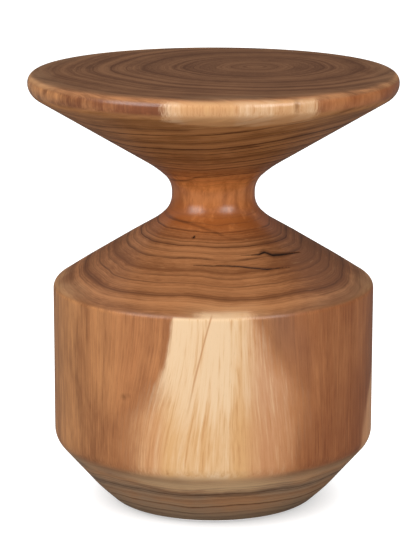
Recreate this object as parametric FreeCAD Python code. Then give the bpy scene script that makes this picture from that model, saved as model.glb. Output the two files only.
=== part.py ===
# Hourglass side table in solid turned hardwood.
# A coned top, a short neck and a heavy drum meet on round tenons, and a steel rod through
# their core draws them together. The drum stands on four felt glides.
# Millimetres, +Z up. The origin is on the floor, on the table's axis.

import FreeCAD
import Part

import math
import os

Vector = FreeCAD.Vector
UP = Vector(0, 0, 1)

# Overall size
TABLE_HEIGHT = 540.0
TOP_DIAMETER = 457.0

# Top: rounded rim over a straight cone
RIM_TOP_RADIUS = 12.0
RIM_BAND = 0.6
RIM_LOW_RADIUS = 19.0
CONE_SLOPE = 31.0

# Neck: a waist that flares into the cone above and the shoulder below, each in two arcs
NECK_DIAMETER = 103.5
NECK_STRAIGHT = 4.0
UPPER_TIGHT_RADIUS = 30.0
UPPER_TIGHT_TURN = 47.0
UPPER_WIDE_RADIUS = 140.0
LOWER_TIGHT_RADIUS = 31.0
LOWER_TIGHT_TURN = 45.0
LOWER_WIDE_RADIUS = 79.0

# Drum: slightly crowned shoulder, upright wall, tapered foot that bulges a little near its base
DRUM_DIAMETER = 399.5
SHOULDER_SLOPE = 30.2
SHOULDER_CROWN_TURN = 2.5
SHOULDER_CROWN_RADIUS = 1500.0
SHOULDER_EDGE_RADIUS = 11.5
FOOT_HEIGHT = 79.6
FOOT_EDGE_RADIUS = 26.0
FOOT_BULGE = 2.4
FOOT_BULGE_HEIGHT = 24.0
FOOT_BULGE_RADIUS = 160.0
BASE_DIAMETER = 251.4
BASE_EDGE_RADIUS = 18.5

# Round tenons on the neck, glued into sockets in the top and the drum
TENON_DIAMETER = 64.0
TENON_CHAMFER = 2.0
UPPER_TENON_LENGTH = 44.0
LOWER_TENON_LENGTH = 60.0
TENON_CLEARANCE = 0.15
SOCKET_RELIEF = 2.0

# Steel rod with two threaded ends, and what it is screwed into and clamped by
THREAD_DIAMETER = 12.0
SHANK_DIAMETER = 10.8
THREAD_CLEARANCE = 0.05
ROD_HOLE_CLEARANCE = 0.5
ROD_CHAMFER = 1.2
UPPER_THREAD_LENGTH = 34.0
LOWER_THREAD_LENGTH = 44.0
ROD_PROUD = 8.0
INSERT_DIAMETER = 20.0
INSERT_LENGTH = 30.0
INSERT_RIDGES = 6
INSERT_RIDGE_DEPTH = 1.2
INSERT_CLEARANCE = 0.05
PILOT_RELIEF = 3.0
SEAT_WASHER_DIAMETER = 44.0
SEAT_WASHER_THICKNESS = 4.0
SPRING_WASHER_DIAMETER = 21.0
SPRING_WASHER_THICKNESS = 3.0
SPRING_WASHER_SPLIT = 1.5
NUT_ACROSS_FLATS = 19.0
NUT_HEIGHT = 10.0
NUT_CHAMFER_ANGLE = 30.0

# Core bore that eases the log's drying and lets a socket wrench reach the nut
CORE_BORE_DIAMETER = 56.0
CLAMPED_WEB = 62.0
PLUG_LIP = 5.0
PLUG_THICKNESS = 20.0
PLUG_RECESS = 1.0
PLUG_CLEARANCE = 0.1
PLUG_CHAMFER = 1.0

# Felt glides: a moulded cup let into the base, a screw, and a felt disc
GLIDE_COUNT = 4
GLIDE_EDGE_MARGIN = 10.0
CUP_DIAMETER = 32.0
CUP_FLOOR = 3.6
CUP_LIP = 2.5
CUP_LIP_WIDTH = 2.6
CUP_CLEARANCE = 0.15
FELT_CLEARANCE = 0.1
FELT_PROUD = 2.0
SCREW_HEAD_DIAMETER = 8.0
SCREW_SHANK_DIAMETER = 4.0
SCREW_LENGTH = 24.0
SCREW_POINT_LENGTH = 4.0
SCREW_CLEARANCE = 0.05
SCREW_SLOT_WIDTH = 1.2
SCREW_SLOT_DEPTH = 1.4

# Two profile points nearer than this are the same point
SAME_POINT = 1e-6


def rounded_edges(corners):
    """Edges of a closed outline through (r, z, radius) corners, each rounded by its radius."""
    points = [Vector(r, 0, z) for r, z, _ in corners]
    count = len(points)
    entries, exits, edges = [], [], []
    for i, (_, _, radius) in enumerate(corners):
        corner = points[i]
        back = (points[i - 1] - corner).normalize()
        ahead = (points[(i + 1) % count] - corner).normalize()
        if radius == 0:
            entries.append(corner)
            exits.append(corner)
            continue
        half_angle = back.getAngle(ahead) / 2
        reach = radius / math.tan(half_angle)
        bisector = (back + ahead).normalize()
        middle = corner + bisector * (radius / math.sin(half_angle) - radius)
        entries.append(corner + back * reach)
        exits.append(corner + ahead * reach)
        edges.append(Part.Arc(entries[i], middle, exits[i]).toShape())
    for i in range(count):
        start, end = exits[i], entries[(i + 1) % count]
        if start.distanceToPoint(end) > SAME_POINT:
            edges.append(Part.LineSegment(start, end).toShape())
    return edges


def turned(corners):
    """Solid of revolution about the table's axis, from its (r, z, radius) half outline."""
    wire = Part.Wire(Part.__sortEdges__(rounded_edges(corners)))
    return Part.Face(wire).revolve(Vector(0, 0, 0), UP, 360)


def plain(*points):
    """Sharp corners of an outline, from (r, z) points."""
    return [(r, z, 0) for r, z in points]


def tangent_length(radius, turn):
    """Distance from a corner to where its rounding starts."""
    return radius * math.tan(math.radians(turn) / 2)


class Flare:
    """Two arcs from the neck's upright wall to a slope: a tight one on the neck, a wide one beyond the seam.

    Every place is an offset from the start of the flare: out from the wall, and along the axis."""

    def __init__(self, tight_radius, tight_turn, wide_radius, slope):
        tight = tangent_length(tight_radius, tight_turn)
        wide = tangent_length(wide_radius, 90 - slope - tight_turn)
        out = math.sin(math.radians(tight_turn))
        along = math.cos(math.radians(tight_turn))
        self.tight_radius = tight_radius
        self.wide_radius = wide_radius
        self.tight_along = tight
        self.seam_out = tight * out
        self.seam_along = tight + tight * along
        self.wide_out = (tight + wide) * out
        self.wide_along = tight + (tight + wide) * along


upper = Flare(UPPER_TIGHT_RADIUS, UPPER_TIGHT_TURN, UPPER_WIDE_RADIUS, CONE_SLOPE)
lower = Flare(LOWER_TIGHT_RADIUS, LOWER_TIGHT_TURN, LOWER_WIDE_RADIUS, SHOULDER_SLOPE)

# Radii
top_radius = TOP_DIAMETER / 2
neck_radius = NECK_DIAMETER / 2
drum_radius = DRUM_DIAMETER / 2
base_radius = BASE_DIAMETER / 2
tenon_radius = TENON_DIAMETER / 2
socket_radius = tenon_radius + TENON_CLEARANCE
thread_radius = THREAD_DIAMETER / 2
thread_bore_radius = thread_radius + THREAD_CLEARANCE
rod_hole_radius = thread_radius + ROD_HOLE_CLEARANCE
insert_radius = INSERT_DIAMETER / 2
pilot_radius = insert_radius + INSERT_CLEARANCE
core_radius = CORE_BORE_DIAMETER / 2
plug_pocket_radius = core_radius + PLUG_LIP
cup_radius = CUP_DIAMETER / 2

# Heights of the outside, from the table surface down to the foot
rim_low_reach = tangent_length(RIM_LOW_RADIUS, 90 - CONE_SLOPE)
rim_corner_z = TABLE_HEIGHT - RIM_TOP_RADIUS - RIM_BAND - rim_low_reach
cone_run = top_radius - neck_radius - upper.wide_out
neck_top_z = rim_corner_z - cone_run * math.tan(math.radians(CONE_SLOPE)) - upper.wide_along
neck_bottom_z = neck_top_z - NECK_STRAIGHT
upper_seam_z = neck_top_z + upper.seam_along
lower_seam_z = neck_bottom_z - lower.seam_along
upper_seam_radius = neck_radius + upper.seam_out
lower_seam_radius = neck_radius + lower.seam_out
shoulder_top_radius = neck_radius + lower.wide_out
shoulder_top_z = neck_bottom_z - lower.wide_along
half_shoulder = (drum_radius - shoulder_top_radius) / 2
crown_z = shoulder_top_z - half_shoulder * math.tan(math.radians(SHOULDER_SLOPE))
shoulder_edge_z = crown_z - half_shoulder * math.tan(math.radians(SHOULDER_SLOPE + SHOULDER_CROWN_TURN))
base_z = FELT_PROUD
foot_corner_z = base_z + FOOT_HEIGHT
foot_run = Vector(drum_radius - base_radius, 0, FOOT_HEIGHT)
foot_out = Vector(FOOT_HEIGHT, 0, base_radius - drum_radius).normalize()
foot_bulge = Vector(base_radius, 0, base_z) + foot_run * (FOOT_BULGE_HEIGHT / FOOT_HEIGHT) + foot_out * FOOT_BULGE

# Heights of the core, from the top's pilot hole down to the nut
upper_tenon_z = upper_seam_z + UPPER_TENON_LENGTH
upper_socket_z = upper_tenon_z + SOCKET_RELIEF
insert_top_z = upper_socket_z + INSERT_LENGTH
pilot_top_z = insert_top_z + PILOT_RELIEF
lower_tenon_z = lower_seam_z - LOWER_TENON_LENGTH
lower_socket_z = lower_tenon_z - SOCKET_RELIEF
washer_seat_z = lower_socket_z - CLAMPED_WEB
spring_washer_z = washer_seat_z - SEAT_WASHER_THICKNESS
nut_top_z = spring_washer_z - SPRING_WASHER_THICKNESS
nut_bottom_z = nut_top_z - NUT_HEIGHT
rod_bottom_z = nut_bottom_z - ROD_PROUD
plug_bottom_z = base_z + PLUG_RECESS
plug_top_z = plug_bottom_z + PLUG_THICKNESS

# Glides, on a circle that keeps them inside the base's flat
foot_lean = math.degrees(math.atan2(foot_bulge.z - base_z, foot_bulge.x - base_radius))
base_flat_radius = base_radius - tangent_length(BASE_EDGE_RADIUS, foot_lean)
glide_circle_radius = base_flat_radius - cup_radius - GLIDE_EDGE_MARGIN
cup_top_z = base_z + CUP_LIP + CUP_FLOOR
felt_top_z = base_z + CUP_LIP
felt_radius = cup_radius - CUP_LIP_WIDTH - FELT_CLEARANCE
screw_head_radius = SCREW_HEAD_DIAMETER / 2
screw_shank_radius = SCREW_SHANK_DIAMETER / 2
screw_head_depth = screw_head_radius - screw_shank_radius
screw_tip_z = felt_top_z + SCREW_LENGTH


def make_table_top():
    """Turned top: flat above, rounded at the rim, coned below, with a socket and a pilot hole."""
    corners = plain(
        (0, pilot_top_z),
        (pilot_radius, pilot_top_z),
        (pilot_radius, upper_socket_z),
        (socket_radius, upper_socket_z),
        (socket_radius, upper_seam_z),
        (upper_seam_radius, upper_seam_z),
    )
    corners.append((neck_radius + upper.wide_out, neck_top_z + upper.wide_along, upper.wide_radius))
    corners.append((top_radius, rim_corner_z, RIM_LOW_RADIUS))
    corners.append((top_radius, TABLE_HEIGHT, RIM_TOP_RADIUS))
    corners.append((0, TABLE_HEIGHT, 0))
    return turned(corners)


def make_neck_spindle():
    """Turned neck: a waist between two flared ends, a tenon on each, bored for the rod."""
    corners = plain(
        (rod_hole_radius, lower_tenon_z),
        (tenon_radius - TENON_CHAMFER, lower_tenon_z),
        (tenon_radius, lower_tenon_z + TENON_CHAMFER),
        (tenon_radius, lower_seam_z),
        (lower_seam_radius, lower_seam_z),
    )
    corners.append((neck_radius, neck_bottom_z - lower.tight_along, lower.tight_radius))
    corners.append((neck_radius, neck_top_z + upper.tight_along, upper.tight_radius))
    corners += plain(
        (upper_seam_radius, upper_seam_z),
        (tenon_radius, upper_seam_z),
        (tenon_radius, upper_tenon_z - TENON_CHAMFER),
        (tenon_radius - TENON_CHAMFER, upper_tenon_z),
        (rod_hole_radius, upper_tenon_z),
    )
    return turned(corners)


def make_drum_body():
    """Turned drum: crowned shoulder, upright wall and tapered foot round a stepped core bore."""
    corners = plain(
        (plug_pocket_radius, base_z),
        (plug_pocket_radius, plug_top_z),
        (core_radius, plug_top_z),
        (core_radius, washer_seat_z),
        (rod_hole_radius, washer_seat_z),
        (rod_hole_radius, lower_socket_z),
        (socket_radius, lower_socket_z),
        (socket_radius, lower_seam_z),
        (lower_seam_radius, lower_seam_z),
    )
    corners.append((shoulder_top_radius, shoulder_top_z, lower.wide_radius))
    corners.append((shoulder_top_radius + half_shoulder, crown_z, SHOULDER_CROWN_RADIUS))
    corners.append((drum_radius, shoulder_edge_z, SHOULDER_EDGE_RADIUS))
    corners.append((drum_radius, foot_corner_z, FOOT_EDGE_RADIUS))
    corners.append((foot_bulge.x, foot_bulge.z, FOOT_BULGE_RADIUS))
    corners.append((base_radius, base_z, BASE_EDGE_RADIUS))
    pocket = turned(plain(
        (0, base_z),
        (cup_radius + CUP_CLEARANCE, base_z),
        (cup_radius + CUP_CLEARANCE, cup_top_z),
        (screw_shank_radius + SCREW_CLEARANCE, cup_top_z),
        (screw_shank_radius + SCREW_CLEARANCE, screw_tip_z),
        (0, screw_tip_z),
    ))
    return turned(corners).cut(Part.makeCompound(round_glides(pocket)))


def make_tie_rod():
    """Steel rod, full thread diameter at both ends and a thinner shank between."""
    rod_top_z = insert_top_z
    shank_radius = SHANK_DIAMETER / 2
    shank_top_z = rod_top_z - UPPER_THREAD_LENGTH
    shank_bottom_z = rod_bottom_z + LOWER_THREAD_LENGTH
    return turned(plain(
        (0, rod_bottom_z),
        (thread_radius - ROD_CHAMFER, rod_bottom_z),
        (thread_radius, rod_bottom_z + ROD_CHAMFER),
        (thread_radius, shank_bottom_z),
        (shank_radius, shank_bottom_z),
        (shank_radius, shank_top_z),
        (thread_radius, shank_top_z),
        (thread_radius, rod_top_z - ROD_CHAMFER),
        (thread_radius - ROD_CHAMFER, rod_top_z),
        (0, rod_top_z),
    ))


def make_threaded_insert():
    """Insert in the top that the rod screws into, with ridges that bite the wood."""
    pitch = INSERT_LENGTH / INSERT_RIDGES
    outline = [(thread_bore_radius, upper_socket_z)]
    for ridge in range(INSERT_RIDGES):
        low = upper_socket_z + ridge * pitch
        outline.append((insert_radius - INSERT_RIDGE_DEPTH, low))
        outline.append((insert_radius, low + pitch / 2))
    outline.append((insert_radius - INSERT_RIDGE_DEPTH, insert_top_z))
    outline.append((thread_bore_radius, insert_top_z))
    return turned(plain(*outline))


def make_ring(inner_radius, outer_radius, bottom, top):
    """Flat ring about the table's axis."""
    return turned(plain((inner_radius, bottom), (outer_radius, bottom), (outer_radius, top), (inner_radius, top)))


def make_seat_washer():
    """Broad washer that spreads the rod's pull over the drum's web."""
    return make_ring(rod_hole_radius, SEAT_WASHER_DIAMETER / 2, spring_washer_z, washer_seat_z)


def make_spring_washer():
    """Split ring that keeps the rod tight while the wood swells and shrinks."""
    outer = SPRING_WASHER_DIAMETER / 2
    ring = make_ring(rod_hole_radius, outer, nut_top_z, spring_washer_z)
    corner = Vector(0, -SPRING_WASHER_SPLIT / 2, nut_top_z)
    return ring.cut(Part.makeBox(outer, SPRING_WASHER_SPLIT, SPRING_WASHER_THICKNESS, corner))


def make_hex_nut():
    """Hexagon nut with its corners chamfered on both faces."""
    corner_radius = NUT_ACROSS_FLATS / math.sqrt(3)
    hexagon = Part.makePolygon([
        Vector(corner_radius * math.cos(angle), corner_radius * math.sin(angle), nut_bottom_z)
        for angle in (math.radians(60 * side) for side in range(7))
    ])
    prism = Part.Face(hexagon).extrude(UP * NUT_HEIGHT)
    flat_radius = NUT_ACROSS_FLATS / 2
    chamfer = (corner_radius - flat_radius) * math.tan(math.radians(NUT_CHAMFER_ANGLE))
    blank = turned(plain(
        (thread_bore_radius, nut_bottom_z),
        (flat_radius, nut_bottom_z),
        (corner_radius, nut_bottom_z + chamfer),
        (corner_radius, nut_top_z - chamfer),
        (flat_radius, nut_top_z),
        (thread_bore_radius, nut_top_z),
    ))
    return prism.common(blank)


def make_bore_plug():
    """Wooden disc that closes the core bore from below, seated on the bore's step."""
    radius = plug_pocket_radius - PLUG_CLEARANCE
    return turned(plain(
        (0, plug_bottom_z),
        (radius - PLUG_CHAMFER, plug_bottom_z),
        (radius, plug_bottom_z + PLUG_CHAMFER),
        (radius, plug_top_z),
        (0, plug_top_z),
    ))


def round_glides(shape):
    """Copies of a shape made on the axis, one at each glide's place."""
    copies = []
    for i in range(GLIDE_COUNT):
        angle = math.radians(360 * (i + 0.5) / GLIDE_COUNT)
        copy = shape.copy()
        copy.translate(Vector(math.cos(angle), math.sin(angle), 0) * glide_circle_radius)
        copies.append(copy)
    return copies


def make_glide_cups():
    """Moulded cups let into the base, countersunk for a screw, with a lip round the felt."""
    lip_radius = cup_radius - CUP_LIP_WIDTH
    return Part.makeCompound(round_glides(turned(plain(
        (screw_head_radius + SCREW_CLEARANCE, felt_top_z),
        (lip_radius, felt_top_z),
        (lip_radius, base_z),
        (cup_radius, base_z),
        (cup_radius, cup_top_z),
        (screw_shank_radius + SCREW_CLEARANCE, cup_top_z),
        (screw_shank_radius + SCREW_CLEARANCE, felt_top_z + screw_head_depth),
    ))))


def make_glide_felts():
    """Felt discs in the cups. They carry the table and stand proud of the wood."""
    return Part.makeCompound(round_glides(turned(plain(
        (0, 0),
        (felt_radius, 0),
        (felt_radius, felt_top_z),
        (0, felt_top_z),
    ))))


def make_glide_screws():
    """Countersunk screws that hold the cups, with a crossed slot in the head."""
    screw = turned(plain(
        (0, felt_top_z),
        (screw_head_radius, felt_top_z),
        (screw_shank_radius, felt_top_z + screw_head_depth),
        (screw_shank_radius, screw_tip_z - SCREW_POINT_LENGTH),
        (0, screw_tip_z),
    ))
    slot_length = screw_head_radius * 2
    for across, deep in ((slot_length, SCREW_SLOT_WIDTH), (SCREW_SLOT_WIDTH, slot_length)):
        corner = Vector(-across / 2, -deep / 2, felt_top_z)
        screw = screw.cut(Part.makeBox(across, deep, SCREW_SLOT_DEPTH, corner))
    return Part.makeCompound(round_glides(screw))


PIECES = {
    "table_top": make_table_top,
    "neck_spindle": make_neck_spindle,
    "drum_body": make_drum_body,
    "tie_rod": make_tie_rod,
    "threaded_insert": make_threaded_insert,
    "seat_washer": make_seat_washer,
    "spring_washer": make_spring_washer,
    "hex_nut": make_hex_nut,
    "bore_plug": make_bore_plug,
    "glide_cups": make_glide_cups,
    "glide_felts": make_glide_felts,
    "glide_screws": make_glide_screws,
}

os.makedirs("parts", exist_ok=True)
for name, make in PIECES.items():
    make().exportStep(f"parts/{name}.step")
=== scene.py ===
"""Dressed model of a turned hourglass side table, in metres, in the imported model's frame.

The three turned pieces are drawn again as fine meshes with drying checks and pin knots, in one solid
wood that runs through all of them as through a log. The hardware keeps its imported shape.
"""
import math
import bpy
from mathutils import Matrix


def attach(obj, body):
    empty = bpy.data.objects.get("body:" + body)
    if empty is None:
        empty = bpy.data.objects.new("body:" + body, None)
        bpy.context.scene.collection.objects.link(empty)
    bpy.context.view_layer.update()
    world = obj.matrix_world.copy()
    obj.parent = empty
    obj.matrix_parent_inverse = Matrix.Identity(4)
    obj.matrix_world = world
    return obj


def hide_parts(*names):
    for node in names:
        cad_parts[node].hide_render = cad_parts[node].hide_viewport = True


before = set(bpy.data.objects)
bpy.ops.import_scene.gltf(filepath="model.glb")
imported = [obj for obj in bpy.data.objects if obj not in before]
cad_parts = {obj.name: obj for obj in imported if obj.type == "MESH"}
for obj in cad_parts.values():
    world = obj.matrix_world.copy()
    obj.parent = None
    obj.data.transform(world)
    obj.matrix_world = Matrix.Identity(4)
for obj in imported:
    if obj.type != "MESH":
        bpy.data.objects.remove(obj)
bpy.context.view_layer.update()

from types import SimpleNamespace

import bmesh
import bpy
import numpy as np

MM = 0.001

# Overall sizes. Lengths of the table are in millimetres, and angles in degrees
TABLE_HEIGHT = 540.0
TOP_RADIUS = 228.5
NECK_RADIUS = 51.75
DRUM_RADIUS = 199.75
BASE_RADIUS = 125.7
BASE_Z = 2.0

# Top: rounded rim over a straight cone
RIM_TOP_ROUND = 12.0
RIM_BAND = 0.6
RIM_LOW_ROUND = 19.0
CONE_SLOPE = 31.0
# Shift of the cone's lower corner from the flare's own, as first drawn
CONE_CORNER_SHIFT = (0.0174, 0.0043)

# Neck: a waist that flares into the cone and the shoulder, each in a tight and a wide arc
NECK_STRAIGHT = 4.0
UPPER_TIGHT_ROUND = 30.0
UPPER_TIGHT_TURN = 47.0
UPPER_WIDE_ROUND = 140.0
LOWER_TIGHT_ROUND = 31.0
LOWER_TIGHT_TURN = 45.0
LOWER_WIDE_ROUND = 79.0

# Drum: crowned shoulder, upright wall, tapered foot with a slight bulge
SHOULDER_SLOPE = 30.2
CROWN_TURN = 2.5
CROWN_ROUND = 1500.0
SHOULDER_EDGE_ROUND = 11.5
FOOT_HEIGHT = 79.6
FOOT_EDGE_ROUND = 26.0
FOOT_BULGE = 2.4
BULGE_HEIGHT = 24.0
BULGE_ROUND = 160.0
BASE_EDGE_ROUND = 18.5

# Core: tenons, sockets, the rod's hole, the bore and the plug's pocket
TENON_RADIUS = 32.0
TENON_CHAMFER = 2.0
UPPER_TENON = 44.0
LOWER_TENON = 60.0
SOCKET_RELIEF = 2.0
CLEARANCE = 0.15
ROD_HOLE_RADIUS = 6.5
PILOT_RADIUS = 10.05
PILOT_DEPTH = 33.0
CORE_RADIUS = 28.0
CLAMPED_WEB = 62.0
PLUG_LIP = 5.0
PLUG_DEPTH = 21.0

# Glides: felts in cups let into the base, each held by a screw
GLIDE_COUNT = 4
FIRST_GLIDE = 45.0
GLIDE_MARGIN = 10.0
CUP_RADIUS = 16.0
CUP_LIP = 2.5
CUP_FLOOR = 3.6
SCREW_HOLE_RADIUS = 2.05
SCREW_LENGTH = 24.0
FELT_RADIUS = 13.3
FELT_TOP_ROUND = 0.5
FELT_FLOOR_ROUND = 0.9
# Height under the base from which the pockets are cut
CUT_START_Z = -1.0


def tangent_length(radius, turn):
    """Distance from a corner to where its rounding starts."""
    return radius * math.tan(math.radians(turn) / 2)


def rise(run, slope):
    """Height that a slope gains over a run."""
    return run * math.tan(math.radians(slope))


def flare(tight_round, tight_turn, wide_round, slope):
    """Offsets of a flare's first corner, seam and second corner, out from the neck and along it."""
    tight = tangent_length(tight_round, tight_turn)
    wide = tangent_length(wide_round, 90 - slope - tight_turn)
    way = np.array([math.sin(math.radians(tight_turn)), math.cos(math.radians(tight_turn))])
    first = np.array([0.0, tight])
    return np.array([first, first + way * tight, first + way * (tight + wide)])


# Corners and seams of the neck's two flares, as (radius, height)
upper_flare = flare(UPPER_TIGHT_ROUND, UPPER_TIGHT_TURN, UPPER_WIDE_ROUND, CONE_SLOPE)
lower_flare = flare(LOWER_TIGHT_ROUND, LOWER_TIGHT_TURN, LOWER_WIDE_ROUND, SHOULDER_SLOPE) * (1, -1)
rim_corner_z = TABLE_HEIGHT - RIM_TOP_ROUND - RIM_BAND - tangent_length(RIM_LOW_ROUND, 90 - CONE_SLOPE)
flare_out, flare_along = upper_flare[2]
neck_top_z = rim_corner_z - rise(TOP_RADIUS - NECK_RADIUS - flare_out, CONE_SLOPE) - flare_along
upper_corner, upper_seam, cone_corner = upper_flare + (NECK_RADIUS, neck_top_z)
cone_corner += CONE_CORNER_SHIFT
lower_corner, lower_seam, shoulder_corner = lower_flare + (NECK_RADIUS, neck_top_z - NECK_STRAIGHT)

# Corners of the shoulder and the foot
half_shoulder = (DRUM_RADIUS - shoulder_corner[0]) / 2
crown_corner = shoulder_corner + (half_shoulder, -rise(half_shoulder, SHOULDER_SLOPE))
shoulder_edge_z = crown_corner[1] - rise(half_shoulder, SHOULDER_SLOPE + CROWN_TURN)
foot_run = np.array([DRUM_RADIUS - BASE_RADIUS, FOOT_HEIGHT])
foot_out = np.array([foot_run[1], -foot_run[0]]) / np.linalg.norm(foot_run)
foot_corner = foot_run * BULGE_HEIGHT / FOOT_HEIGHT + foot_out * FOOT_BULGE + (BASE_RADIUS, BASE_Z)

# Radii and heights in the core and at the glides
socket_radius = TENON_RADIUS + CLEARANCE
upper_tenon_z = upper_seam[1] + UPPER_TENON
upper_socket_z = upper_tenon_z + SOCKET_RELIEF
pilot_top_z = upper_socket_z + PILOT_DEPTH
lower_tenon_z = lower_seam[1] - LOWER_TENON
lower_socket_z = lower_tenon_z - SOCKET_RELIEF
washer_seat_z = lower_socket_z - CLAMPED_WEB
plug_radius = CORE_RADIUS + PLUG_LIP
plug_top_z = BASE_Z + PLUG_DEPTH
felt_top_z = BASE_Z + CUP_LIP
cup_top_z = felt_top_z + CUP_FLOOR
cup_pocket_radius = CUP_RADIUS + CLEARANCE
screw_top_z = felt_top_z + SCREW_LENGTH
foot_lean = math.degrees(math.atan2(foot_corner[1] - BASE_Z, foot_corner[0] - BASE_RADIUS))
glide_circle = BASE_RADIUS - tangent_length(BASE_EDGE_ROUND, foot_lean) - GLIDE_MARGIN - CUP_RADIUS

# Outlines from the top down, as (radius, height, rounding) corners, and the cores that close them
TOP_OUTSIDE = [
    (0, TABLE_HEIGHT, 0), (TOP_RADIUS, TABLE_HEIGHT, RIM_TOP_ROUND),
    (TOP_RADIUS, rim_corner_z, RIM_LOW_ROUND), (*cone_corner, UPPER_WIDE_ROUND),
    (*upper_seam, 0),
]
TOP_CORE = [
    (socket_radius, upper_seam[1]), (socket_radius, upper_socket_z),
    (PILOT_RADIUS, upper_socket_z), (PILOT_RADIUS, pilot_top_z),
    (0, pilot_top_z),
]
NECK_OUTSIDE = [
    (*upper_seam, 0), (*upper_corner, UPPER_TIGHT_ROUND),
    (*lower_corner, LOWER_TIGHT_ROUND), (*lower_seam, 0),
]
NECK_CORE = [
    (TENON_RADIUS, lower_seam[1]), (TENON_RADIUS, lower_tenon_z + TENON_CHAMFER),
    (TENON_RADIUS - TENON_CHAMFER, lower_tenon_z), (ROD_HOLE_RADIUS, lower_tenon_z),
    (ROD_HOLE_RADIUS, upper_tenon_z), (TENON_RADIUS - TENON_CHAMFER, upper_tenon_z),
    (TENON_RADIUS, upper_tenon_z - TENON_CHAMFER), (TENON_RADIUS, upper_seam[1]),
]
DRUM_OUTSIDE = [
    (*lower_seam, 0), (*shoulder_corner, LOWER_WIDE_ROUND),
    (*crown_corner, CROWN_ROUND), (DRUM_RADIUS, shoulder_edge_z, SHOULDER_EDGE_ROUND),
    (DRUM_RADIUS, BASE_Z + FOOT_HEIGHT, FOOT_EDGE_ROUND), (*foot_corner, BULGE_ROUND),
    (BASE_RADIUS, BASE_Z, BASE_EDGE_ROUND), (plug_radius, BASE_Z, 0),
]
DRUM_CORE = [
    (plug_radius, plug_top_z), (CORE_RADIUS, plug_top_z), (CORE_RADIUS, washer_seat_z),
    (ROD_HOLE_RADIUS, washer_seat_z), (ROD_HOLE_RADIUS, lower_socket_z), (socket_radius, lower_socket_z),
    (socket_radius, lower_seam[1]),
]
GLIDE_POCKET = [
    (0, screw_top_z), (SCREW_HOLE_RADIUS, screw_top_z), (SCREW_HOLE_RADIUS, cup_top_z),
    (cup_pocket_radius, cup_top_z), (cup_pocket_radius, CUT_START_Z), (0, CUT_START_Z),
]
FELT_OUTSIDE = [
    (0, felt_top_z, 0), (FELT_RADIUS, felt_top_z, FELT_TOP_ROUND),
    (FELT_RADIUS, 0.0, FELT_FLOOR_ROUND), (0, 0.0, 0),
]

# Drying checks in the shoulder: azimuth from the front, positive to the right, radius and half width
SHOULDER_CHECKS = [
    [
        (17, 112.0, 0.2), (24, 112.8, 0.5), (29, 113.2, 1.0), (32, 111.4, 1.4), (34, 110.8, 1.9),
        (36, 113.6, 2.3), (38, 116.6, 2.6), (44, 118.2, 2.1), (50, 119.4, 1.2), (60, 122.0, 0.4),
    ],
    [
        (-11, 126.4, 0.3), (-1, 126.4, 0.6), (9, 126.8, 0.8), (19, 130.8, 0.9),
        (26, 134.3, 0.9), (28.5, 135.6, 1.2), (32, 135.8, 0.6), (42, 138.2, 0.3),
    ],
    [(-16.6, 84.2, 1.3), (-16.3, 82.0, 0.8)],
]
CHECK_DEPTH = 1.2
CHECK_HEIGHTS = (285, 356)
# Pin knots in the rim and the wall: azimuth, height, half width, half height, depth, darkness
PIN_KNOTS = [
    (24.9, 528.0, 2.3, 5.2, 1.3, 0.52),
    (-32.3, 172.2, 2.6, 2.2, 0.6, 0.5),
    (-30.6, 174.4, 2.2, 1.8, 0.5, 0.4),
    (128, 214, 3.4, 4.6, 1.2, 0.8),
]
# No knot is nearer to the axis than this
KNOT_INNER_RADIUS = 150
# Width of the dark stain round a hollow, over the hollow's own
STAIN = 3.2

# Meridians of the turned meshes: close together at the front, where the checks and most knots are
FRONT_LEFT = -36
FRONT_RIGHT = 62
FRONT_MERIDIANS = 175
BACK_MERIDIANS = 119
AZIMUTHS = np.radians(np.concatenate([
    np.linspace(FRONT_LEFT, FRONT_RIGHT, FRONT_MERIDIANS, endpoint=False),
    np.linspace(FRONT_RIGHT, FRONT_LEFT + 360, BACK_MERIDIANS, endpoint=False),
]))

# Longest steps of the meshes along the outside, short between these heights, at the checks and knots
FINE_STEPS = [(318, 352, 0.8), (160, 185, 1.5), (505, 539, 1.5)]
WALL_STEP = 5.0
LEVEL_STEP = 9.0
# A face this near the top or the base is level
LEVEL_DEPTH = 1.0
# Angle of an arc's chords
ARC_STEP = math.radians(5)
# Points nearer than this are one
SAME_POINT = 1e-3
# Edges sharper than this stay sharp in the shading
SHARP_ANGLE = math.radians(32)


def rounded(corners):
    """Points of an outline through (r, z, rounding) corners, with each arc as short chords."""
    places = [np.array(corner[:2], float) for corner in corners]
    out = [places[0]]
    for before, place, after, corner in zip(places, places[1:], places[2:], corners[1:]):
        back = (before - place) / np.linalg.norm(before - place)
        ahead = (after - place) / np.linalg.norm(after - place)
        half = math.acos(back @ ahead) / 2
        centre = place + (back + ahead) / np.linalg.norm(back + ahead) * corner[2] / math.sin(half)
        start, end = (place + way * corner[2] / math.tan(half) - centre for way in (back, ahead))
        first = math.atan2(start[1], start[0])
        turn = (math.atan2(end[1], end[0]) - first + math.pi) % (2 * math.pi) - math.pi
        angles = first + turn * np.linspace(0, 1, math.ceil(abs(turn) / ARC_STEP) + 1)
        out += list(centre + corner[2] * np.stack([np.cos(angles), np.sin(angles)], 1))
    out.append(places[-1])
    return [a for a, b in zip(out, out[1:]) if np.linalg.norm(a - b) > SAME_POINT] + [out[-1]]


def spread(points, step):
    """Points with each run divided so that none is longer than step(height)."""
    out = [points[0]]
    for a, b in zip(points, points[1:]):
        count = math.ceil(np.linalg.norm(b - a) / step((a[1] + b[1]) / 2))
        out += [a + (b - a) * k / count for k in range(1, count + 1)]
    return np.array(out)


def surface_step(z):
    """Longest step along the outside at a height."""
    for low, high, step in FINE_STEPS:
        if low < z < high:
            return step
    level = z < BASE_Z + LEVEL_DEPTH or z >= TABLE_HEIGHT - LEVEL_DEPTH
    return LEVEL_STEP if level else WALL_STEP


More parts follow.
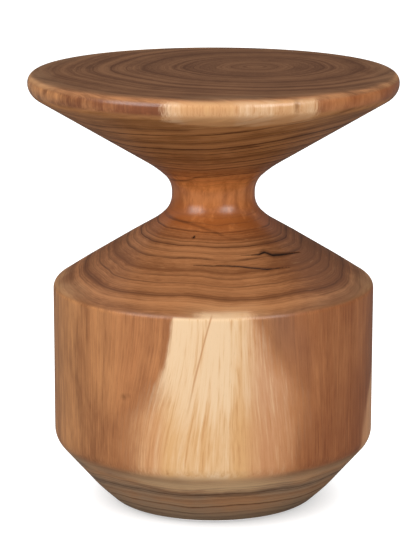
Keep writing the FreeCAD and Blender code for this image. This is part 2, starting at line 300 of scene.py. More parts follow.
def turning_error(azimuth, z):
    """How far the wood has moved in or out since it was turned."""
    oval = 0.28 * np.cos(2 * azimuth + 0.7)
    lobes = 0.13 * np.cos(3 * azimuth - z / 90) + 0.09 * np.sin(5 * azimuth + z / 38)
    return oval + lobes + 0.06 * np.cos(9 * azimuth - z / 21)


def near_check(x, y, check):
    """How deep in a check each place in the plan is: 1 on its line, 0 outside its stain."""
    azimuth, radius, width = np.array(check).T
    line = np.stack([radius * np.sin(np.radians(azimuth)), -radius * np.cos(np.radians(azimuth))], 1)
    place = np.stack([x, y], -1)
    deepest = np.zeros(x.shape)
    for a, b, wide_a, wide_b in zip(line, line[1:], width, width[1:]):
        share = np.clip(((place - a) @ (b - a)) / ((b - a) @ (b - a)), 0, 1)
        gap = np.linalg.norm(place - a - share[..., None] * (b - a), axis=-1)
        deepest = np.maximum(deepest, 1 - gap / (wide_a + (wide_b - wide_a) * share) / STAIN)
    return deepest


def hole(inside):
    """Share of a hollow's depth: 1 at its middle, 0 at its lip, outside which there is only stain."""
    return np.clip(1 - (1 - inside) * STAIN, 0, 1)


def hollows(azimuth, r, z):
    """Depth of the checks and knots, and how dark they are, over the outside."""
    sunk = np.zeros(r.shape)
    dark = np.zeros(r.shape)
    on_shoulder = (z > CHECK_HEIGHTS[0]) & (z < CHECK_HEIGHTS[1])
    for check in SHOULDER_CHECKS:
        inside = np.where(on_shoulder, near_check(r * np.sin(azimuth), -r * np.cos(azimuth), check), 0)
        sunk = np.maximum(sunk, CHECK_DEPTH * hole(inside))
        dark = np.maximum(dark, inside)
    for knot_azimuth, height, wide, tall, depth, darkness in PIN_KNOTS:
        around = (azimuth - math.radians(knot_azimuth) + math.pi) % (2 * math.pi) - math.pi
        inside = np.clip(1 - np.hypot(around * r / wide, (z - height) / tall) / STAIN, 0, 1)
        inside = inside * (r > KNOT_INNER_RADIUS)
        sunk = np.maximum(sunk, depth * hole(inside))
        dark = np.maximum(dark, inside * darkness)
    return sunk, dark


def revolve(name, profile, azimuths):
    """Mesh of a profile, given as radius and height at each azimuth, turned about the axis."""
    r, z = profile
    rows, turns = r.shape
    ring = np.arange(turns)
    after = np.roll(ring, -1)
    on_axis = r[0].max() < SAME_POINT
    faces = []
    for i in range(rows - 1 if on_axis else rows):
        row = i * turns
        next_row = (i + 1) % rows * turns
        faces.append(np.stack([row + ring, next_row + ring, next_row + after, row + after], 1))
    verts = np.stack([r * np.sin(azimuths), -r * np.cos(azimuths), z], -1).reshape(-1, 3) * MM
    mesh = bpy.data.meshes.new(name)
    mesh.from_pydata(verts.tolist(), [], np.vstack(faces).tolist())
    return mesh


def join_axis(mesh):
    """Makes one vertex of those that meet on the axis."""
    work = bmesh.new()
    work.from_mesh(mesh)
    on_axis = [vert for vert in work.verts if vert.co.xy.length < SAME_POINT * MM]
    bmesh.ops.remove_doubles(work, verts=on_axis, dist=SAME_POINT * MM)
    work.to_mesh(mesh)
    work.free()


def turned_mesh(name, outside, core):
    """Closed turned mesh: an outside with the wood's movement, checks and knots, and a plain core."""
    outer = spread(rounded(outside), surface_step)
    count = len(outer)
    turns = len(AZIMUTHS)
    along = np.gradient(outer, axis=0)
    normal = np.stack([-along[:, 1], along[:, 0]], 1) / np.linalg.norm(along, axis=1)[:, None]
    profile = np.vstack([outer, core])
    r, z = (np.repeat(profile[:, [i]], turns, 1) for i in (0, 1))
    azimuth = np.repeat(AZIMUTHS[None], count, 0)
    sunk, dark = hollows(azimuth, r[:count], z[:count])
    move = turning_error(azimuth, z[:count])
    r[:count] += (move - sunk) * normal[:, :1]
    z[:count] -= sunk * normal[:, 1:]
    mesh = revolve(name, (r, z), AZIMUTHS)
    shade = np.vstack([dark, np.zeros((len(core), turns))]).ravel().astype(np.float32)
    mesh.attributes.new("check", "FLOAT", "POINT").data.foreach_set("value", shade)
    join_axis(mesh)
    return mesh


def at_glides(mesh):
    """One mesh with a copy of the given one at each of the glides."""
    work = bmesh.new()
    for i in range(GLIDE_COUNT):
        angle = math.radians(FIRST_GLIDE + 360 / GLIDE_COUNT * i)
        before = len(work.verts)
        work.from_mesh(mesh)
        work.verts.ensure_lookup_table()
        shift = (glide_circle * MM * math.cos(angle), glide_circle * MM * math.sin(angle), 0)
        bmesh.ops.translate(work, verts=work.verts[before:], vec=shift)
    work.to_mesh(mesh)
    work.free()
    return mesh


def plain_turning(name, points, turns):
    """Turned mesh of a plain outline that starts and ends on the axis."""
    points = np.array(points, float)
    azimuths = np.radians(np.arange(turns) * 360 / turns)
    r, z = (np.repeat(points[:, [i]], turns, 1) for i in (0, 1))
    mesh = revolve(name, (r, z), azimuths)
    join_axis(mesh)
    return mesh


def add_piece(name, mesh, node, material):
    """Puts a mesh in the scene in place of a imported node."""
    piece = bpy.data.objects.new(name, mesh)
    bpy.context.scene.collection.objects.link(piece)
    mesh.materials.append(material)
    mesh.shade_smooth()
    mesh.set_sharp_from_angle(angle=SHARP_ANGLE)
    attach(piece, "root")
    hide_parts(node)


def cut_pockets(mesh):
    """Drum mesh with the glides' pockets cut out of its base."""
    drum = bpy.data.objects.new("drum_blank", mesh)
    pockets = at_glides(plain_turning("pocket", GLIDE_POCKET, turns=48))
    cutter = bpy.data.objects.new("pocket_cutter", pockets)
    for each in (drum, cutter):
        bpy.context.scene.collection.objects.link(each)
    cut = drum.modifiers.new("pockets", "BOOLEAN")
    cut.operation = "DIFFERENCE"
    cut.solver = "EXACT"
    cut.object = cutter
    done = bpy.data.meshes.new_from_object(drum.evaluated_get(bpy.context.evaluated_depsgraph_get()))
    for each in (drum, cutter):
        bpy.data.objects.remove(each)
    done.name = "drum_body_turned"
    return done


# Colours of the wood, as 8-bit sRGB
HEART_DARK = (105, 59, 33)
HEART_LIGHT = (208, 146, 92)
HEART_RED = (173, 98, 55)
HEART_SHADE = (137, 91, 68)
RING_DARK = (126, 77, 44)
RING_LIGHT = (177, 119, 75)
RING_LINE = (70, 36, 18)
GLOW_DARK = (168, 91, 36)
GLOW_LIGHT = (220, 136, 70)
SAP_CREAM = (237, 203, 162)
SAP_GOLD = (222, 172, 116)
SAP_TAN = (203, 142, 100)
SAP_STREAK = (190, 128, 77)
TAN = (198, 152, 107)
# Near-black core of the checks, painted shade in a crack's depth; also the darkest knot's own core
CHECK = (40, 22, 12)
# Multiplied over the level top: painted shade that darkens it, with a painted grey-blue sheen
TOP_SHADE_AND_SHEEN = (186, 192, 205)
CONE_LIGHT = (162, 108, 48)
FOOT_GREY = (171, 144, 115)
FOOT_BROWN = (186, 137, 95)
FOOT_TAN = (215, 179, 135)

# Colours of the other materials, as 8-bit sRGB, dark and light
PLUG_LATE = (128, 86, 54)
PLUG_EARLY = (188, 142, 98)
PLUG_PORES = (110, 74, 48)
FELT_COLOURS = ((70, 58, 48), (128, 112, 96))
STEEL_COLOURS = ((150, 150, 146), (196, 197, 198))
BRASS_COLOURS = ((176, 134, 66), (212, 176, 102))
PLASTIC_COLOURS = ((34, 30, 27), (52, 47, 43))

# The log: its bark's radius in the drum, what the top adds to it, its pith's place in the table's surface,
# and the heights of the wall's upper edge and of the neck's lower line at the back
BARK_RADIUS = 200
TOP_BARK = 28.5
PITH_RIGHT = 52
PITH_BACK = 37
WALL_TOP = 277
NECK_BACK_Z = 353
# Where looks change: to end grain by how level a face is, from drum to top and foot to wall by height
GRAIN_TURN = (0.3, 0.62)
TOP_BLEND = (400, 470)
FOOT_BLEND = (64, 84)
# Azimuth of the sapwood on the right, at the foot, and of that at the back
SIDE_SAP = 87
BACK_SAP = -148
# The plug's pith, off to one side of its axis, and the width of its rings
PLUG_PITH_X = -52
PLUG_PITH_Y = 20
PLUG_RING = 3.4

# Wood round the log, by azimuth from the front: how far the rings are out of round, as a share
LOG_SHAPE = [
    (-180, 0.0), (-165, 0.004), (-130, 0.05), (-104, -0.1), (-85, -0.09), (-70, -0.055), (-57, -0.03),
    (-40, 0.0), (-26, 0.0), (-12, -0.006), (8, 0.014), (22, 0.012), (40, 0.0), (56, 0.0), (75, -0.05),
    (92, -0.07), (130, 0.04), (165, 0.004), (180, 0.0),
]
# How light the heartwood is on the drum, how red, and how light on the rim
HEART_TONES = [
    (-180, 0.5), (-160, 0.6), (-138, 0.3), (-120, 0.55), (-104, 0.4), (-88, 0.42), (-74, 0.54), (-62, 0.62),
    (-53, 0.45), (-46, 0.55), (-40, 0.62), (-34, 0.58), (-29, 0.52), (-23, 0.48), (-16, 0.46), (-8, 0.5),
    (10, 0.62), (16, 0.72), (22, 0.66), (27, 0.52), (32, 0.47), (38, 0.52), (46, 0.46), (54, 0.44),
    (64, 0.38), (74, 0.3), (90, 0.45), (108, 0.65), (126, 0.34), (150, 0.55), (180, 0.5),
]
HEART_REDS = [
    (-180, 0.4), (-120, 0.2), (-75, 0.0), (-50, 0.24), (-40, 0.35), (-26, 0.6), (-15, 0.6), (0, 0.3),
    (18, 0.4), (32, 0.8), (44, 0.8), (58, 0.8), (75, 0.8), (110, 0.3), (150, 0.6), (180, 0.4),
]
RIM_TONES = [
    (-180, 0.5), (-120, 0.55), (-90, 0.5), (-76, 0.5), (-60, 0.34), (-48, 0.3), (-32, 0.14), (-16, 0.08),
    (10, 0.25), (30, 0.34), (42, 0.5), (54, 0.4), (66, 0.28), (88, 0.14), (110, 0.4), (150, 0.5), (180, 0.5),
]
# How golden the pale rim is, how tan the end grain near the bark, and how light the neck, whose tone
# carries painted light at its front-left and painted shade towards its sides
RIM_GOLD = [
    (-180, 0.6), (-40, 0.5), (-15, 0.3), (-10, 0.5), (-2, 1.3), (5, 1.2), (11, 0.5), (17, 0.65), (22, 0.9),
    (28, 0.55), (32, 0.7), (60, 0.7), (180, 0.6),
]
TAN_SHARE = [
    (-180, 0.4), (-110, 0.6), (-78, 0.6), (-58, 0.34), (-42, 0.06), (-18, 0.06), (-6, 0.4), (10, 0.45),
    (24, 0.12), (60, 0.2), (90, 0.5), (130, 0.3), (180, 0.4),
]
NECK_TONES = [
    (-180, 0.0), (-90, -0.5), (-60, -0.4), (-38, 0.05), (-20, 0.5), (0, 0.42), (20, 0.36), (42, 0.36),
    (60, 0.2), (90, -0.2), (180, 0.0),
]
# Height of two dark lines round the neck, by azimuth: the lower one and the upper one
NECK_LINES = [
    [(-80, 366), (-59, 364), (-31, 361.5), (-3, 355), (16, 347), (40, 342), (60, 340)],
    [(-80, 408), (-65, 409), (-35, 412.7), (-13, 421), (6, 425), (30, 427), (60, 424)],
]
# Azimuth of the front sapwood's two edges, and of the vein in it, by height
SAP_LEFT = [
    (0, -27.5), (78, -27.5), (135, -27.5), (150, -25.8), (165, -21.8), (183, -19), (212, -16.6), (243, -15),
    (262, -14.3), (277, -13.7), (400, -14), (540, -14.3),
]
SAP_RIGHT = [
    (0, 22), (78, 22), (110, 25), (155, 27), (183, 26.6), (202, 23), (220, 18.8), (243, 15.8), (262, 14.4),
    (277, 13.4), (400, 14), (470, 31.5), (540, 31.5),
]
SAP_VEIN = [(140, -10.2), (165, -8.6), (210, -5.8), (247, -3.1), (280, -0.5)]

# Names of the surface's sockets that aren't in title case
SOCKET_NAMES = {"specular_ior_level": "Specular IOR Level"}


def linear(colour):
    """Linear colour of an 8-bit sRGB one, with alpha."""
    parts = [part / 255 for part in colour]
    return (*(p / 12.92 if p <= 0.04045 else ((p + 0.055) / 1.055) ** 2.4 for p in parts), 1.0)


class Field:
    """A number or colour that varies over a surface, as the output of a node.

    It takes ordinary arithmetic. In a sum or a product with a number, the field comes first.
    """

    def __init__(self, nodes, socket):
        self.nodes = nodes
        self.socket = socket

    def __add__(self, other):
        return self.nodes.calc("ADD", self, other)

    def __sub__(self, other):
        return self.nodes.calc("SUBTRACT", self, other)

    def __rsub__(self, other):
        return self.nodes.calc("SUBTRACT", other, self)

    def __mul__(self, other):
        return self.nodes.calc("MULTIPLY", self, other)

    def __truediv__(self, other):
        return self.nodes.calc("DIVIDE", self, other)

    def __neg__(self):
        return self.nodes.calc("MULTIPLY", self, -1.0)

    def __abs__(self):
        return self.nodes.calc("ABSOLUTE", self)


class Nodes:
    """A node tree under construction."""

    def __init__(self, tree):
        self.tree = tree

    def node(self, kind, **settings):
        """New node with its settings."""
        made = self.tree.nodes.new(kind)
        for key, value in settings.items():
            setattr(made, key, value)
        return made

    def output(self, kind, name, **settings):
        """Field of an output of a new node."""
        return Field(self, self.node(kind, **settings).outputs[name])

    def plug(self, value, socket):
        """Gives a socket a field, by a link, or a constant."""
        if isinstance(value, Field):
            self.tree.links.new(value.socket, socket)
        else:
            socket.default_value = value

    def parts(self, vector):
        """The three parts of a field of vectors."""
        made = self.node("ShaderNodeSeparateXYZ")
        self.plug(vector, made.inputs[0])
        return [Field(self, out) for out in made.outputs]

    def calc(self, operation, *values):
        """Field worked out from others, or from numbers."""
        made = self.node("ShaderNodeMath", operation=operation)
        for value, socket in zip(values, made.inputs):
            self.plug(value, socket)
        return Field(self, made.outputs[0])

    def ramp(self, value, low, high, start, end, kind="LINEAR"):
        """Goes from start to end as value goes from low to high."""
        made = self.node("ShaderNodeMapRange", interpolation_type=kind)
        for item, socket in zip((value, low, high, start, end), made.inputs):
            self.plug(item, socket)
        return Field(self, made.outputs[0])


class Shader(Nodes):
    """A material under construction."""

    def __init__(self, name):
        self.material = bpy.data.materials.new(name)
        self.material.use_nodes = True
        super().__init__(self.material.node_tree)
        self.surface = self.tree.nodes["Principled BSDF"]

    def position(self):
        """Place on the object in millimetres."""
        return [part / MM for part in self.parts(self.output("ShaderNodeTexCoord", "Object"))]

    def upness(self):
        """1 on a face that looks up, 0 on an upright one, -1 on one that looks down."""
        return self.parts(self.output("ShaderNodeNewGeometry", "Normal"))[2]

    def attribute(self, name):
        """Field of a number kept on the mesh."""
        return self.output("ShaderNodeAttribute", "Fac", attribute_name=name)

    def smooth(self, value, low, high, start=0.0, end=1.0):
        """Goes smoothly from start to end as value goes from low to high."""
        return self.ramp(value, low, high, start, end, "SMOOTHSTEP")

    def fade(self, value, low, high, start=1.0):
        """Goes smoothly from start to 0 as value goes from low to high."""
        return self.smooth(value, low, high, start, 0.0)

    def curve(self, value, low, high, points):
        """Smooth curve through (value, result) points, for values from low to high."""
        results = [result for _, result in points]
        least = min(results)
        span = max(results) - least
        made = self.node("ShaderNodeFloatCurve")
        line = made.mapping.curves[0]
        while len(line.points) < len(points):
            line.points.new(0, 0)
        for point, (place, result) in zip(line.points, points):
            point.location = ((place - low) / (high - low), (result - least) / span)
        made.mapping.update()
        self.plug((value - low) / (high - low), made.inputs["Value"])
        return Field(self, made.outputs[0]) * span + least

    def around(self, azimuth, points):
        """Smooth curve all round the table through (azimuth, result) points."""
        return self.curve(azimuth, -180, 180, points)

    def noise(self, place, size, detail=2.0, rough=0.5):
        """Noise from about -1 to 1 with features of the given size. place is one to three fields."""
        made = self.node("ShaderNodeTexNoise", noise_dimensions=f"{len(place)}D")
        if len(place) == 1:
            self.plug(place[0], made.inputs["W"])
        else:
            whole = self.node("ShaderNodeCombineXYZ")
            for value, socket in zip(place, whole.inputs):
                self.plug(value, socket)
            self.tree.links.new(whole.outputs[0], made.inputs["Vector"])
        for name, value in (("Scale", 1 / size), ("Detail", detail), ("Roughness", rough)):
            made.inputs[name].default_value = value
        return (Field(self, made.outputs["Fac"]) - 0.5) * 3.0

    def ring_lines(self, count, half_width):
        """Dark lines of differing strength, one to a ring. Each darkens slowly from the pith's side.

        half_width is a share of the ring.
        """
        past = self.calc("FRACT", count) - 0.5
        darker = self.smooth(past, -3.2 * half_width, 0.0)
        lighter = self.fade(past, 0.0, 0.7 * half_width)
        chance = self.node("ShaderNodeTexWhiteNoise", noise_dimensions="1D")
        self.plug(self.calc("FLOOR", count), chance.inputs["W"])
        strength = self.smooth(Field(self, chance.outputs["Value"]), 0.1, 0.95, 0.1, 1.0)
        return darker * darker * lighter * strength

    def mix(self, first, second, share, blend="MIX"):
        """Colour that goes from the first to the second. A colour is a field or 8-bit sRGB."""
        made = self.node("ShaderNodeMix", data_type="RGBA", blend_type=blend, clamp_factor=True)
        for value, socket in ((first, made.inputs[6]), (second, made.inputs[7])):
            self.plug(value if isinstance(value, Field) else linear(value), socket)
        self.plug(share, made.inputs[0])
        return Field(self, made.outputs[2])

    def finish(self, colour, roughness, height, bump=0.3, depth=0.3 * MM, **others):
        """Material with its colour, roughness and relief, and other settings by socket."""
        self.plug(colour, self.surface.inputs["Base Color"])
        self.plug(roughness, self.surface.inputs["Roughness"])
        relief = self.node("ShaderNodeBump")
        relief.inputs["Strength"].default_value = bump
        relief.inputs["Distance"].default_value = depth
        self.plug(height, relief.inputs["Height"])
        self.tree.links.new(relief.outputs[0], self.surface.inputs["Normal"])
        for name, value in others.items():
            self.plug(value, self.surface.inputs[SOCKET_NAMES.get(name, name.replace("_", " ").title())])
        return self.material


def log_place(wood):
    """Where a place is on the table, and how far it belongs to each part of it, from 0 to 1."""
    x, y, z = wood.position()
    up = wood.upness()
    radius = wood.calc("SQRT", x * x + y * y)
    end_grain = wood.smooth(abs(up), *GRAIN_TURN)
    in_top = wood.smooth(z, *TOP_BLEND)
    return SimpleNamespace(
        x=x, y=y, z=z, up=up, radius=radius, end_grain=end_grain, in_top=in_top,
        azimuth=wood.calc("ARCTAN2", x, -y) * math.degrees(1),
        side_grain=1 - end_grain,
        in_drum=1 - in_top,
        under=wood.smooth(-up, *GRAIN_TURN) * in_top,
        level=wood.smooth(up, 0.7, 0.97) * wood.smooth(z, 528, 537),
        in_foot=wood.fade(z, *FOOT_BLEND),
        near_bark=radius - (in_top * TOP_BARK + BARK_RADIUS),
    )


def log_rings(wood, at):
    """Growth rings, and the bands, lines and flecks that go along them.

    The pith is on the axis in the drum, and wanders back and to the right in the top.
    """
    wander = wood.smooth(at.z, 395, TABLE_HEIGHT)
    from_x = at.x - wander * PITH_RIGHT
    from_y = at.y - wander * PITH_BACK
    from_pith = wood.calc("SQRT", from_x * from_x + from_y * from_y + 1.0)
    way_x = from_x / from_pith
    way_y = from_y / from_pith
    place = (at.x, at.y, at.z)
    lobes = wood.noise((way_x, way_y, at.z / 420), 0.9, 1.0) * 0.05
    out_of_round = wood.around(at.azimuth, LOG_SHAPE) * at.in_drum + lobes * (at.in_top + 0.35)
    age = from_pith * (1 - out_of_round) + wood.noise(place, 70) * 2.6 + wood.noise(place, 9) * 0.22
    patchy = wood.noise(place, 55)
    low_shoulder = wood.smooth(at.near_bark, -75, -30) * at.in_drum
    bold = wood.ring_lines(age / 11.5 + wood.noise((age,), 26, 1.0), half_width=0.15)
    bold = bold * wood.smooth(patchy, -0.6, 0.3, 0.35, 1.0)
    plain = wood.ring_lines(age / 5.6 + wood.noise((age,), 14, 1.0) * 1.1, half_width=0.26)
    plain = plain * wood.smooth(patchy, 0.7, -0.5, 0.3, 1.0)
    hair = wood.ring_lines(age / 2.2, half_width=0.35)
    return SimpleNamespace(
        age=age, patchy=patchy, low_shoulder=low_shoulder, plain=plain,
        lines=bold * (0.95 - low_shoulder * 0.5) + plain * 0.5 + hair * 0.22,
        band=wood.noise((age,), 24, 3.0, 0.6),
        strand=wood.noise((way_x * 5, way_y * 5, age / 4.5), 1.0, 3.0, 0.62),
        fleck=wood.noise((way_x * 12, way_y * 12, age / 1.7), 1.0, 3.0, 0.65),
        sweep=wood.noise((way_x * 2.2, way_y * 2.2, (at.z - at.x * 0.13) / 5.5), 1.0, 4.0, 0.62),
    )


def log_fibres(wood, at, rings):
    """Fibres on the upright faces. They fan out towards the foot from a line just right of the front."""
    fan = wood.fade(at.z, 80, WALL_TOP, 0.4) * wood.fade(abs(at.azimuth), 10, 50)
    swept = (at.azimuth - (at.azimuth - 7) * fan) * math.radians(1)
    lie_x = at.radius * wood.calc("SINE", swept)
    lie_y = at.radius * wood.calc("COSINE", swept)

    def drawn_out(length, size, detail, rough=0.5):
        """Noise that is drawn out along the fibres, by its length over its size."""
        return wood.noise((lie_x, lie_y, at.z / length), size, detail, rough)

    broad = drawn_out(22, 16, 3.0, 0.55)
    return SimpleNamespace(
        broad=broad,
        tongue=drawn_out(14, 10, 3.0, 0.6),
        streak=drawn_out(28, 4.2, 3.0, 0.62),
        dash=drawn_out(9, 2.3, 3.0, 0.65),
        fine=drawn_out(30, 1.5, 2.0, 0.6),
        pore=wood.smooth(drawn_out(14, 0.55, 1.0), 0.45, 0.85),
        flame=wood.noise((rings.age * 1.3 - at.z * 0.07 + broad * 3,), 9, 3.0, 0.6),
    )


def heartwood(wood, at, fibres):
    """Colour of the heartwood on the upright faces."""
    azimuth = at.azimuth + fibres.broad * 2.2 + wood.noise((at.x, at.y, at.z / 3), 60) * 4
    tone = wood.around(azimuth, HEART_TONES) * at.in_drum + wood.around(azimuth, RIM_TONES) * at.in_top
    tone = tone + wood.noise((at.x, at.y, at.z * 0.8), 24, 3.0) * at.in_top * 0.5
    tone = tone + wood.noise((at.x, at.y, at.z / 2.2), 28, 3.0) * at.in_drum * 0.13
    tone = tone + fibres.flame * 0.17 + fibres.broad * 0.13 + fibres.streak * 0.14
    tone = tone + fibres.fine * 0.17 + fibres.dash * 0.11
    low = wood.fade(at.z, 150, 215) * at.in_drum
    darker_left = wood.fade(abs(azimuth + 37), 5, 15, 0.14) * low
    darker_right = wood.fade(abs(azimuth - 51), 10, 24, 0.22) * low
    colour = wood.mix(HEART_DARK, HEART_LIGHT, wood.smooth(tone - darker_left - darker_right, 0.0, 1.0))
    colour = wood.mix(colour, HEART_RED, wood.around(azimuth, HEART_REDS) * 0.5 + fibres.streak * 0.14)
    slant = abs(at.azimuth - 23 - (WALL_TOP - at.z) * 0.1 + fibres.broad * 2.5 + fibres.streak * 1.2)
    shaded = wood.fade(slant, 1.0, 12.0, 0.55) * wood.smooth(at.z, 160, 268) * at.in_drum
    colour = wood.mix(colour, HEART_SHADE, shaded)
    right_rim = wood.smooth(at.azimuth, 22, 50, 0.0, 0.28) * wood.fade(at.azimuth, 110, 170) * at.in_top
    return wood.mix(colour, GLOW_DARK, right_rim)


def ring_wood(wood, at, rings):
    """Colour of the end grain, with painted light at the drum's front and painted shade on its right."""
    # Painted light and shade: the drum's end grain lighter at the front and darker to the right
    painted_shade_right = wood.smooth(at.azimuth, 25, 62) * wood.fade(at.azimuth, 110, 170) * at.in_drum
    painted_light_front = wood.smooth(abs(at.azimuth + 2), 14, 52, 0.3, -0.12) * at.in_drum
    tone = (rings.band + rings.fleck * 0.5) * (at.in_top * 1.5 - at.level * 1.3 + 1.15)
    tone = tone + rings.sweep * at.under * 1.5 + rings.patchy * (at.under * 0.7 + 0.4)
    tone = tone + painted_light_front - rings.low_shoulder * 0.22 - painted_shade_right * 0.6
    return wood.mix(RING_DARK, RING_LIGHT, wood.smooth(tone, -0.9, 0.9))


def waist_share(wood, at):
    """How far a place belongs to the waist, which ends below at the neck's lower line."""
    share = wood.fade(at.radius, 54, 112) * wood.smooth(at.z, 320, 362) * wood.fade(at.z, 412, 455)
    lower = wood.around(at.azimuth, [(-180, NECK_BACK_Z), *NECK_LINES[0], (180, NECK_BACK_Z)])
    return share * wood.smooth(at.z - lower, -16, 2, 0.5, 1.0)


def waist_wood(wood, at, rings, fibres):
    """Colour of the waist: orange, with a curled figure, painted shade on its lower flare and at its sides.
    """
    curl = wood.noise((at.x, at.y, at.z / 2.2 - at.x * 0.28), 12, 3.0, 0.62)
    tone = fibres.broad * 0.6 + fibres.streak * 0.3 + curl + rings.band * 0.4 + rings.fleck * 0.3
    # Painted shade: the lower flare darker below 390 mm, and the sides darker through NECK_TONES
    tone = tone + wood.around(at.azimuth, NECK_TONES) - wood.smooth(at.z, 390, 362) * 1.1
    return wood.mix(GLOW_DARK, GLOW_LIGHT, wood.smooth(tone, -0.8, 0.9))


def tan_share(wood, at, rings):
    """How far the end grain is near enough to the bark to turn tan."""
    outward = at.near_bark + rings.patchy * 7 + rings.band * 4
    return wood.smooth(outward, -28 - at.in_top * 16, -4) * at.end_grain


def tinted(wood, at, rings, tan, colour):
    """Colour with tan near the bark and in strands, the top's painted shade and sheen, and the cone's tint.
    """
    below_sap = wood.fade(abs(at.azimuth - 8), 18, 44, 0.22)
    share = wood.around(at.azimuth, TAN_SHARE) * (1 - at.under) * (1 - at.level * 0.4) + below_sap * at.under
    colour = wood.mix(colour, TAN, tan * share * wood.smooth(rings.strand, -0.9, 0.4, 0.4, 1.0))
    strands = wood.smooth(rings.strand, 0.25 - at.under * 0.35, 1.1) * at.end_grain
    colour = wood.mix(colour, TAN, strands * (at.under * 0.15 + 0.3) * (1 - at.level * 0.6))
    # Painted shade and painted sheen on the level top
    colour = wood.mix(colour, TOP_SHADE_AND_SHEEN, at.level, "MULTIPLY")
    return wood.mix(colour, CONE_LIGHT, at.under * 0.33)


def foot_wood(wood, at, rings):
    """Colour of the foot: grey and brown, with a tan band at the front over a dark line."""
    tone = rings.band * 0.8 + rings.patchy * 0.7 + rings.fleck * 0.3
    colour = wood.mix(FOOT_GREY, FOOT_BROWN, wood.smooth(tone, -0.6, 0.8))
    colour = wood.mix(colour, FOOT_GREY, wood.smooth(at.z, 30, 8))
    outward = at.near_bark + rings.patchy * 5 + rings.strand * 3
    outward = outward - wood.smooth(abs(at.azimuth - 5), 18, 48) * 9
    front = wood.smooth(abs(at.azimuth + 3 + rings.strand * 3), 15, 36, 1.0, 0.35)
    colour = wood.mix(colour, FOOT_TAN, wood.smooth(outward, -25, -17) * front)
    return wood.mix(colour, RING_LINE, wood.fade(abs(outward + 26), 0, 3.5, 0.45) * front)


def dark_lines(wood, at, rings, tan, waist):
    """Strength of the dark lines: along the rings, slanting over the cone, and round the neck."""
    lines = rings.lines * wood.smooth(rings.fleck, -0.9, 0.5, 0.55, 1.0) * (1 - tan * 0.55)
    lines = lines + wood.smooth(rings.strand, -0.3, -1.1) * (at.under * 0.3 + 0.3)
    lines = lines * (1 - at.level * 0.35) + wood.smooth(rings.sweep, -0.25, -1.0) * at.under * 0.75
    for points in NECK_LINES:
        height = wood.around(at.azimuth, [(-180, points[0][1]), *points, (180, points[-1][1])])
        line = wood.fade(abs(at.z - height + rings.fleck * 0.4), 0.0, 2.4, 0.7)
        lines = lines + line * wood.fade(abs(at.azimuth + 15), 35, 75) * waist
    return lines


def sap_patches(wood, at, rings, fibres):
    """Sapwood at the front, the right and the back: what is left of the log's outermost layer.

    share is how far a place belongs to it, ragged is 1 at the front patch's edge, and loose is how far that
    edge runs out along the fibres.
    """
    left = wood.curve(at.z, 0, TABLE_HEIGHT, SAP_LEFT)
    right = wood.curve(at.z, 0, TABLE_HEIGHT, SAP_RIGHT)
    across = (at.azimuth - (left + right) / 2) / ((right - left) / 2)
    ragged = abs(across) + fibres.tongue * 0.05 + fibres.streak * 0.07
    ragged = ragged + fibres.dash * 0.06 + fibres.fine * 0.03
    loose_right = wood.smooth(at.azimuth, 2, 14) * wood.smooth(at.z, 235, 275, 1.0, 0.35)
    loose_left = wood.smooth(at.azimuth, -8, -17) * wood.fade(at.z, 172, 222, 0.85)
    loose = (loose_right + loose_left) * at.in_drum
    frayed = ragged + loose * (fibres.broad * 0.16 + fibres.dash * 0.1)
    front = wood.fade(frayed, 0.9 - loose * 0.22, loose * 0.3 + 1.1)
    on_shoulder = wood.smooth(at.up, 0.25, 0.6) * at.in_drum
    front = front * (1 - on_shoulder * wood.smooth(at.azimuth + fibres.tongue * 2, -8, -2, 1.0, 0.2))
    front = front * (1 - wood.smooth(at.up, 0.5, 0.85) * at.in_top)
    taper = wood.smooth(at.z, 90, 235)
    from_side = abs(at.azimuth - SIDE_SAP - taper * 9) + taper * 14
    from_side = from_side + fibres.tongue * 2.5 + fibres.streak * 1.6 + fibres.dash * 1.2
    side = wood.fade(from_side, 16.5, 22.5) * at.in_drum
    drift = wood.noise((at.z,), 80) * 5 + wood.smooth(at.z, 100, WALL_TOP, 0.0, 6.0)
    from_back = abs(at.azimuth - BACK_SAP + drift) - at.in_top * 6
    from_back = from_back + fibres.tongue * 2.5 + fibres.streak * 2 + fibres.dash * 1.5
    back = wood.fade(from_back, 9, 16)
    outward = at.near_bark + at.in_top * 6 + rings.patchy * 2 + rings.band * 1.5
    outward = outward + at.under * (rings.strand * 7 - across * across * 9 + 7)
    patch = wood.calc("MAXIMUM", front, wood.calc("MAXIMUM", side, back))
    return SimpleNamespace(share=patch * wood.smooth(outward, -11, -3), ragged=ragged, loose=loose)


